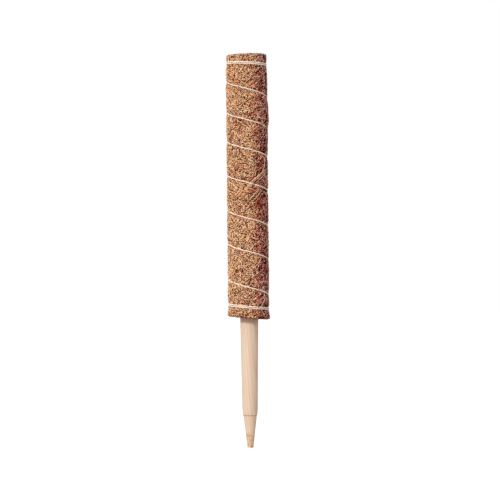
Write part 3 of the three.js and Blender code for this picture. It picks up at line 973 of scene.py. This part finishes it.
def wood_material(stake):
    """Bare turned softwood: banded grain, pores, a stained tip, painted shade under the sleeve and at the
    shoulder.
    """
    material, tree, shader = new_material("stake_wood")
    height = object_height(tree)
    point = stake.point_length
    cone_edge = point + 0.3 * MM
    fine, broad = streaks(tree, fineness=1500, stretch=0.02)
    rings = add_node(tree, "ShaderNodeTexWave", {
        "Vector": object_places(tree, turn=(0.05, 0.035, 0.6)), "Scale": 110, "Distortion": 1.0,
        "Detail": 2, "Detail Scale": 0.6,
    }, wave_type="BANDS", bands_direction="X").outputs["Fac"]
    tone = mixed(tree, ranged(tree, rings, (0.35, 1), (0, 0.8)), stake.wood, stake.late_wood)
    tone = mixed(tree, ranged(tree, broad, (0.48, 0.68), (0, 0.8)), tone, stake.blush)
    pores = ranged(tree, fine, (0.56, 0.68), (0, 0.8))
    tone = mixed(tree, pores, tone, stake.late_wood)
    on_cone = ranged(tree, height, (point, cone_edge), (1, 0))
    to_tip = ranged(tree, height, (0, point), (0.9, 0.4))
    tone = mixed(tree, worked(tree, "MULTIPLY", on_cone, to_tip), tone, stake.tip)
    spots = ranged(tree, noise_field(tree, scale=820, detail=1, stretch=(1, 1, 0.5)), (0.5, 0.56))
    near_tip = ranged(tree, height, (0.35 * point, 0.5 * point), (1, 0))
    tone = mixed(tree, worked(tree, "MULTIPLY", spots, near_tip), tone, stake.stain)
    # Painted shade: a warm darkening just under the sleeve, for its shadow on the wood.
    shaded_under_sleeve = ranged(tree, height, (MAT_LOW.z - stake.under_sleeve_reach, MAT_LOW.z), (0, 0.6))
    tone = mixed(tree, shaded_under_sleeve, tone, stake.under_sleeve_shade)
    # Painted shadow: a dark line at the shoulder step.
    off_line = worked(tree, "ABSOLUTE", worked(tree, "SUBTRACT", height, point))
    in_shoulder_shadow = ranged(tree, off_line, (0.2 * MM, 0.7 * MM), (0.8, 0))
    feed(tree, shader, {
        "Base Color": mixed(tree, in_shoulder_shadow, tone, stake.shoulder_shadow),
        "Roughness": ranged(tree, fine, (0.3, 0.7), (0.5, 0.72)),
        "Normal": bumped(tree, fine, strength=0.25, distance=0.12 * MM),
    })
    return material


def plastic_material(stake):
    """Matt extruded plastic with faint draw lines."""
    material, tree, shader = new_material("tube_plastic")
    fine, broad = streaks(tree, fineness=1100, stretch=0.01)
    feed(tree, shader, {
        "Base Color": mixed(
            tree, ranged(tree, broad, (0.35, 0.7)), stake.plastic, dimmed(stake.plastic, 0.8)
        ),
        "Roughness": ranged(tree, fine, (0.3, 0.7), (0.4, 0.6)),
        "Normal": bumped(tree, fine, strength=0.15, distance=0.05 * MM),
    })
    return material


def steel_material(stake):
    """Bright nail wire with a dull bloom."""
    material, tree, shader = new_material("nail_steel")
    bloom = noise_field(tree, scale=900, detail=4)
    feed(tree, shader, {
        "Base Color": mixed(tree, bloom, stake.steel, dimmed(stake.steel, 0.6)),
        "Roughness": ranged(tree, bloom, (0.3, 0.7), (0.28, 0.5)),
        "Metallic": 1,
    })
    return material


def felt_material(coir):
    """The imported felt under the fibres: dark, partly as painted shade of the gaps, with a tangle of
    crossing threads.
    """
    material, tree, shader = new_material("coir_felt")
    tangle = 0
    for turn in ((0.5, 0.3, 0.2), (-0.4, 0.9, 1.1), (0.2, -0.7, 2.3)):
        threads = noise_field(tree, scale=1600, detail=2, stretch=(1, 1, 0.18), turn=turn)
        tangle = worked(tree, "MAXIMUM", tangle, threads)
    feed(tree, shader, {
        "Base Color": mixed(tree, ranged(tree, tangle, (0.5, 0.74)), coir.pit, coir.brown),
        "Roughness": ranged(tree, tangle, (0.4, 0.7), (1, 0.8)),
        "Normal": bumped(tree, tangle, strength=0.9, distance=0.6 * MM),
    })
    return material


def fibre_material(coir, name, pit_shaded):
    """Coir fibres: the shade picks the colour, ends are bleached, and painted shade of the pits between
    fibres may speck them.
    """
    material, tree, shader = new_material(name)
    places = add_node(tree, "ShaderNodeUVMap", uv_map=STRAND_MAP)
    split = add_node(tree, "ShaderNodeSeparateXYZ", {"Vector": places.outputs["UV"]})
    shade, run = split.outputs["X"], split.outputs["Y"]
    tone = ramp(tree, shade, (coir.dark, coir.brown, coir.tan, coir.pale, coir.rosy))
    from_middle = worked(tree, "ABSOLUTE", worked(tree, "SUBTRACT", run, 0.5))
    tone = mixed(tree, ranged(tree, from_middle, (0.38, 0.5), (0, 0.3)), tone, coir.pale)
    near_top = ranged(tree, object_height(tree), (MAT_HIGH.z - coir.grey_reach, MAT_HIGH.z), (0, 0.6))
    tone = mixed(tree, near_top, tone, coir.greyed)
    if pit_shaded:
        # Painted shade: dark specks for the shaded pits between fibres.
        painted_pits = ranged(tree, noise_field(tree, scale=750, detail=1), (0.53, 0.56))
        tone = mixed(tree, painted_pits, tone, coir.pit_shade, "MULTIPLY")
    feed(tree, shader, {"Base Color": tone, "Roughness": 0.75, "Specular IOR Level": 0.1})
    return material


def twine_material(twine):
    """Undyed spun twine: pale yarns with darker fibres along them."""
    material, tree, shader = new_material("twine")
    field = noise_field(tree, scale=1400, detail=3)
    feed(tree, shader, {
        "Base Color": mixed(tree, ranged(tree, field, (0.42, 0.66)), twine.pale, twine.shade),
        "Roughness": ranged(tree, field, (0.3, 0.7), (0.7, 0.95)),
    })
    return material


# Operators


class MOSSPOLE_OT_stage(bpy.types.Operator):
    """Sets the camera, the light and a plain white floor"""

    bl_idname = "moss_pole.stage"
    bl_label = "Stage"

    # Where the flag's edge begins and ends, as the share of a direction that points to the right.
    flag_edge = (0.1, 0.9)

    def execute(self, context):
        scene = context.scene
        stage = scene.moss_pole.stage
        self.camera(scene, stage)
        self.key(scene, stage)
        self.sky(scene, stage)
        self.floor(scene, stage)
        scene.view_settings.view_transform = "Standard"
        return {"FINISHED"}

    def camera(self, scene, stage):
        """Sets the camera level, with the lean of the picture."""
        data = bpy.data.cameras.new("Camera")
        data.lens = stage.lens
        camera = bpy.data.objects.new("Camera", data)
        camera.location = (stage.aside, -stage.distance, stage.height)
        camera.rotation_euler = (math.pi / 2, stage.roll, 0)
        scene.collection.objects.link(camera)
        scene.camera = camera

    def key(self, scene, stage):
        """Hangs the key light at the viewer's left."""
        data = bpy.data.lights.new("Key", "SUN")
        data.angle = stage.key_width
        data.energy = stage.key_strength
        key = bpy.data.objects.new("Key", data)
        level = math.cos(stage.key_elevation)
        towards = Vector((
            -math.sin(stage.key_azimuth) * level, -math.cos(stage.key_azimuth) * level,
            math.sin(stage.key_elevation),
        ))
        key.location = Vector((0, 0, stage.height)) + towards
        key.rotation_euler = towards.to_track_quat("Z", "Y").to_euler()
        scene.collection.objects.link(key)

    def sky(self, scene, stage):
        """Lights the pole from all round, less on the right, and shows white behind it."""
        world = bpy.data.worlds.new("Sky")
        world.use_nodes = True
        tree = world.node_tree
        source = add_node(tree, "ShaderNodeTexCoord")
        split = add_node(tree, "ShaderNodeSeparateXYZ", {"Vector": source.outputs["Generated"]})
        lit = ranged(tree, split.outputs["X"], self.flag_edge, (stage.sky, stage.sky * (1 - stage.flag)))
        feed(tree, tree.nodes["Background"], {
            "Color": (1, 1, 1, 1), "Strength": ranged(tree, background_rays(tree), (0, 1), (lit, 1)),
        })
        scene.world = world

    def floor(self, scene, stage):
        """Lays a matt floor that shows white and keeps the pole's shadow."""
        shape = bmesh.new()
        bmesh.ops.create_grid(shape, x_segments=1, y_segments=1, size=stage.floor_size / 2)
        mesh = bpy.data.meshes.new("floor")
        shape.to_mesh(mesh)
        shape.free()
        material, tree, shader = new_material("floor")
        feed(tree, shader, {
            "Base Color": (*stage.floor, 1), "Roughness": 1, "Specular IOR Level": 0,
            "Emission Color": (1, 1, 1, 1),
            "Emission Strength": ranged(tree, background_rays(tree), (0, 1), (0, stage.floor_glow)),
        })
        mesh.materials.append(material)
        floor = bpy.data.objects.new("floor", mesh)
        scene.collection.objects.link(floor)


class MOSSPOLE_OT_stake(bpy.types.Operator):
    """Turns the wooden stake, with its cone, shoulder, tapered shank and tenon"""

    bl_idname = "moss_pole.stake"
    bl_label = "Stake"

    def execute(self, context):
        stake = context.scene.moss_pole.stake
        shank_top = TUBE_LOW.z - ROOM
        profile = [
            (0, STAKE_LOW.z),
            (stake.tip_radius, STAKE_LOW.z),
            (stake.point_radius, stake.point_length),
            (stake.shoulder_radius, stake.point_length),
            (stake.thin_radius, stake.point_length + stake.chamfer_length),
            (stake.thick_radius, MAT_LOW.z),
            (stake.thick_radius, shank_top),
            (STAKE_HIGH.x, shank_top),
            (STAKE_HIGH.x, STAKE_HIGH.z - stake.tenon_chamfer),
            (STAKE_HIGH.x - stake.tenon_chamfer, STAKE_HIGH.z),
            (0, STAKE_HIGH.z),
        ]
        mesh = turned_mesh("stake", rounded(profile, stake.edge_round), False)
        piece = new_object("stake", mesh, wood_material(stake))
        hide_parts("ground_stake")
        return {"FINISHED"}


class MOSSPOLE_OT_tube(bpy.types.Operator):
    """Makes the hollow core tube, and finishes the nails that hold the stake in it"""

    bl_idname = "moss_pole.tube"
    bl_label = "Core Tube"

    def execute(self, context):
        stake = context.scene.moss_pole.stake
        outer = TUBE_HIGH.x
        bore = outer - stake.tube_wall
        # The profile starts and ends half way up the bore, so that all four corners lie between its ends.
        start = (TUBE_LOW.z + TUBE_HIGH.z) / 2
        end = start + 1 * MM
        profile = [
            (bore, start), (bore, TUBE_LOW.z), (outer, TUBE_LOW.z), (outer, TUBE_HIGH.z),
            (bore, TUBE_HIGH.z), (bore, end),
        ]
        mesh = turned_mesh("core_tube_wall", rounded(profile, stake.tube_round), True)
        piece = new_object("core_tube_wall", mesh, plastic_material(stake))
        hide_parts("core_tube")
        steel = steel_material(stake)
        for name in ("stake_nail_1", "stake_nail_2"):
            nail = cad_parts[name]
            nail.data.materials.clear()
            nail.data.materials.append(steel)
        return {"FINISHED"}


class MOSSPOLE_OT_felt(bpy.types.Operator):
    """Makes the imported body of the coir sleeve, drawn in under the twine"""

    bl_idname = "moss_pole.felt"
    bl_label = "Coir Felt"

    # Rows of faces up the sleeve, and lumps of the felt to a metre.
    rows = 130
    lumps_to_metre = 250

    def execute(self, context):
        pole = context.scene.moss_pole
        coir = pole.coir
        bore = TUBE_HIGH.x + ROOM
        foot = MAT_LOW.z + coir.end_depth
        top = MAT_HIGH.z - coir.end_depth
        wall = [(MAT_HIGH.x, height) for height in np.linspace(foot, top, self.rows + 1)]
        mesh = turned_mesh("coir_felt", [(bore, foot), *wall, (bore, top)], True)
        self.draw_in(mesh, coir, pole.twine, (bore + MAT_HIGH.x) / 2)
        piece = new_object("coir_felt", mesh, felt_material(coir))
        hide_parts("coir_mat")
        return {"FINISHED"}

    def draw_in(self, mesh, coir, twine, inside):
        """Moves the points outside a radius, which are the outer wall's, onto the sleeve's drawn-in form."""
        places = np.empty(len(mesh.vertices) * 3, np.float32)
        mesh.vertices.foreach_get("co", places)
        places = places.reshape(-1, 3)
        wall = np.hypot(places[:, 0], places[:, 1]) > inside
        around = np.arctan2(places[wall, 1], places[wall, 0])
        height = places[wall, 2]
        lumpy = coir.felt_lump * lumps(around, height, self.lumps_to_metre, coir.seed)
        places[wall] = sleeve_points(coir, twine, around, height, lumpy - coir.felt_depth)
        mesh.vertices.foreach_set("co", places.ravel())
        mesh.update()


class MOSSPOLE_OT_fibres(bpy.types.Operator):
    """Mats the coir fibres over the felt, from the dark deep ones to the pale loose ones"""

    bl_idname = "moss_pole.fibres"
    bl_label = "Coir Fibres"

    def execute(self, context):
        pole = context.scene.moss_pole
        coir = pole.coir
        rng = np.random.default_rng(coir.seed)
        fibre = fibre_material(coir, "coir_fibre", True)
        for layer in LAYERS:
            self.mat(layer.name, matted(coir, pole.twine, rng, layer), fibre)
        for layer, end, outwards in ((TOP_END, MAT_HIGH.z, 1), (FOOT_END, MAT_LOW.z, -1)):
            self.mat(layer.name, end_matted(coir, rng, layer, end, outwards), fibre)
        strand = fibre_material(coir, "coir_strand", False)
        self.mat("coir_husk_strands", laid_strands(coir, pole.twine), strand)
        return {"FINISHED"}

    def mat(self, name, fibres, material):
        """Makes a piece of fibres from their paths, radii and shades."""
        new_object(name, strand_mesh(name, *fibres), material)


class MOSSPOLE_OT_twine(bpy.types.Operator):
    """Lays the plied twine along its bands and winding, with its fuzz"""

    bl_idname = "moss_pole.twine"
    bl_label = "Binding Twine"

    def execute(self, context):
        pole = context.scene.moss_pole
        twine = pole.twine
        radius = winding_radius(twine)
        total = int(all_turns(twine) * FULL_TURN * radius / twine.step)
        turns = np.linspace(0, all_turns(twine), total)
        out, onward = round_pole(twine.start_angle + FULL_TURN * turns)
        middle = radius * out
        middle[:, 0] -= pole.coir.off_centre
        middle[:, 2] = twine_height(twine, turns)
        material = twine_material(twine)
        piece = yarn_piece("twine", plied(twine, middle, out), twine.ply_radius, material)
        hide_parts("binding_twine")
        self.fuzz(twine, middle, out, onward, material)
        return {"FINISHED"}

    def fuzz(self, twine, middle, out, onward, material):
        """Stands short fibres off the twine, at random places along it."""
        rng = np.random.default_rng(twine.fuzz_seed)
        total = twine.fuzz_total
        each = (total, 1, 1)
        part = np.linspace(0, 1, FUZZ_POINTS)[None, :, None]
        at = rng.integers(0, len(middle), total)
        lean = onward[at][:, None] * rng.normal(0, 1, each)
        up = np.array((0, 0, 1)) * rng.normal(0, 1, each)
        reach = rng.uniform(*FUZZ_REACH, each) * MM
        start = middle[at][:, None] + FUZZ_ROOT * twine.radius * out[at][:, None]
        course = lean + up + out[at][:, None] * rng.uniform(*FUZZ_SLOPE, each)
        paths = start + reach * part * course * (1 - FUZZ_DROOP * part)
        radii = rng.uniform(*FUZZ_RADII, (total, 1)) * MM * np.linspace(1, FUZZ_END, FUZZ_POINTS)
        mesh = strand_mesh("twine_fuzz", paths, radii, rng.uniform(*FUZZ_SHADES, total))
        new_object("twine_fuzz", mesh, material)


class MOSSPOLE_OT_knots(bpy.types.Operator):
    """Ties off the two ends of the twine in knots with frayed tails"""

    bl_idname = "moss_pole.knots"
    bl_label = "Knots"

    def execute(self, context):
        pole = context.scene.moss_pole
        coir, twine = pole.coir, pole.twine
        material = bpy.data.materials["twine"]
        # Each knot sits over the gap between the two turns of its band.
        ends = (("top_knot", 0, -0.5), ("bottom_knot", all_turns(twine), 0.5))
        for node, turns, pitches in ends:
            height = float(twine_height(twine, turns)) + pitches * twine.band_pitch
            around = twine.start_angle + FULL_TURN * turns
            paths = knot(coir, twine, around, height) + tails(coir, twine, around, height)
            piece = yarn_piece("twine_" + node, paths, twine.ply_radius, material)
            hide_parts(node)
        return {"FINISHED"}


OPERATORS = (
    MOSSPOLE_OT_stage,
    MOSSPOLE_OT_stake,
    MOSSPOLE_OT_tube,
    MOSSPOLE_OT_felt,
    MOSSPOLE_OT_fibres,
    MOSSPOLE_OT_twine,
    MOSSPOLE_OT_knots,
)


class MOSSPOLE_PT_panel(bpy.types.Panel):
    """Lists the steps that build the pole"""

    bl_idname = "MOSSPOLE_PT_panel"
    bl_label = "Moss Pole"
    bl_space_type = "VIEW_3D"
    bl_region_type = "UI"
    bl_category = "Moss Pole"

    def draw(self, context):
        for operator in OPERATORS:
            self.layout.operator(operator.bl_idname)


CLASSES = (
    StakeSettings, TwineSettings, CoirSettings, StageSettings, PoleSettings, *OPERATORS, MOSSPOLE_PT_panel,
)


def register():
    """Adds the classes and the settings to Blender."""
    for item in CLASSES:
        bpy.utils.register_class(item)
    bpy.types.Scene.moss_pole = bpy.props.PointerProperty(type=PoleSettings)


def unregister():
    """Takes the settings and the classes out again."""
    del bpy.types.Scene.moss_pole
    for item in reversed(CLASSES):
        bpy.utils.unregister_class(item)


def main():
    """Builds the pole."""
    register()
    bpy.ops.moss_pole.stage()
    bpy.ops.moss_pole.stake()
    bpy.ops.moss_pole.tube()
    bpy.ops.moss_pole.felt()
    bpy.ops.moss_pole.fibres()
    bpy.ops.moss_pole.twine()
    bpy.ops.moss_pole.knots()


if __name__ == "__main__":
    main()
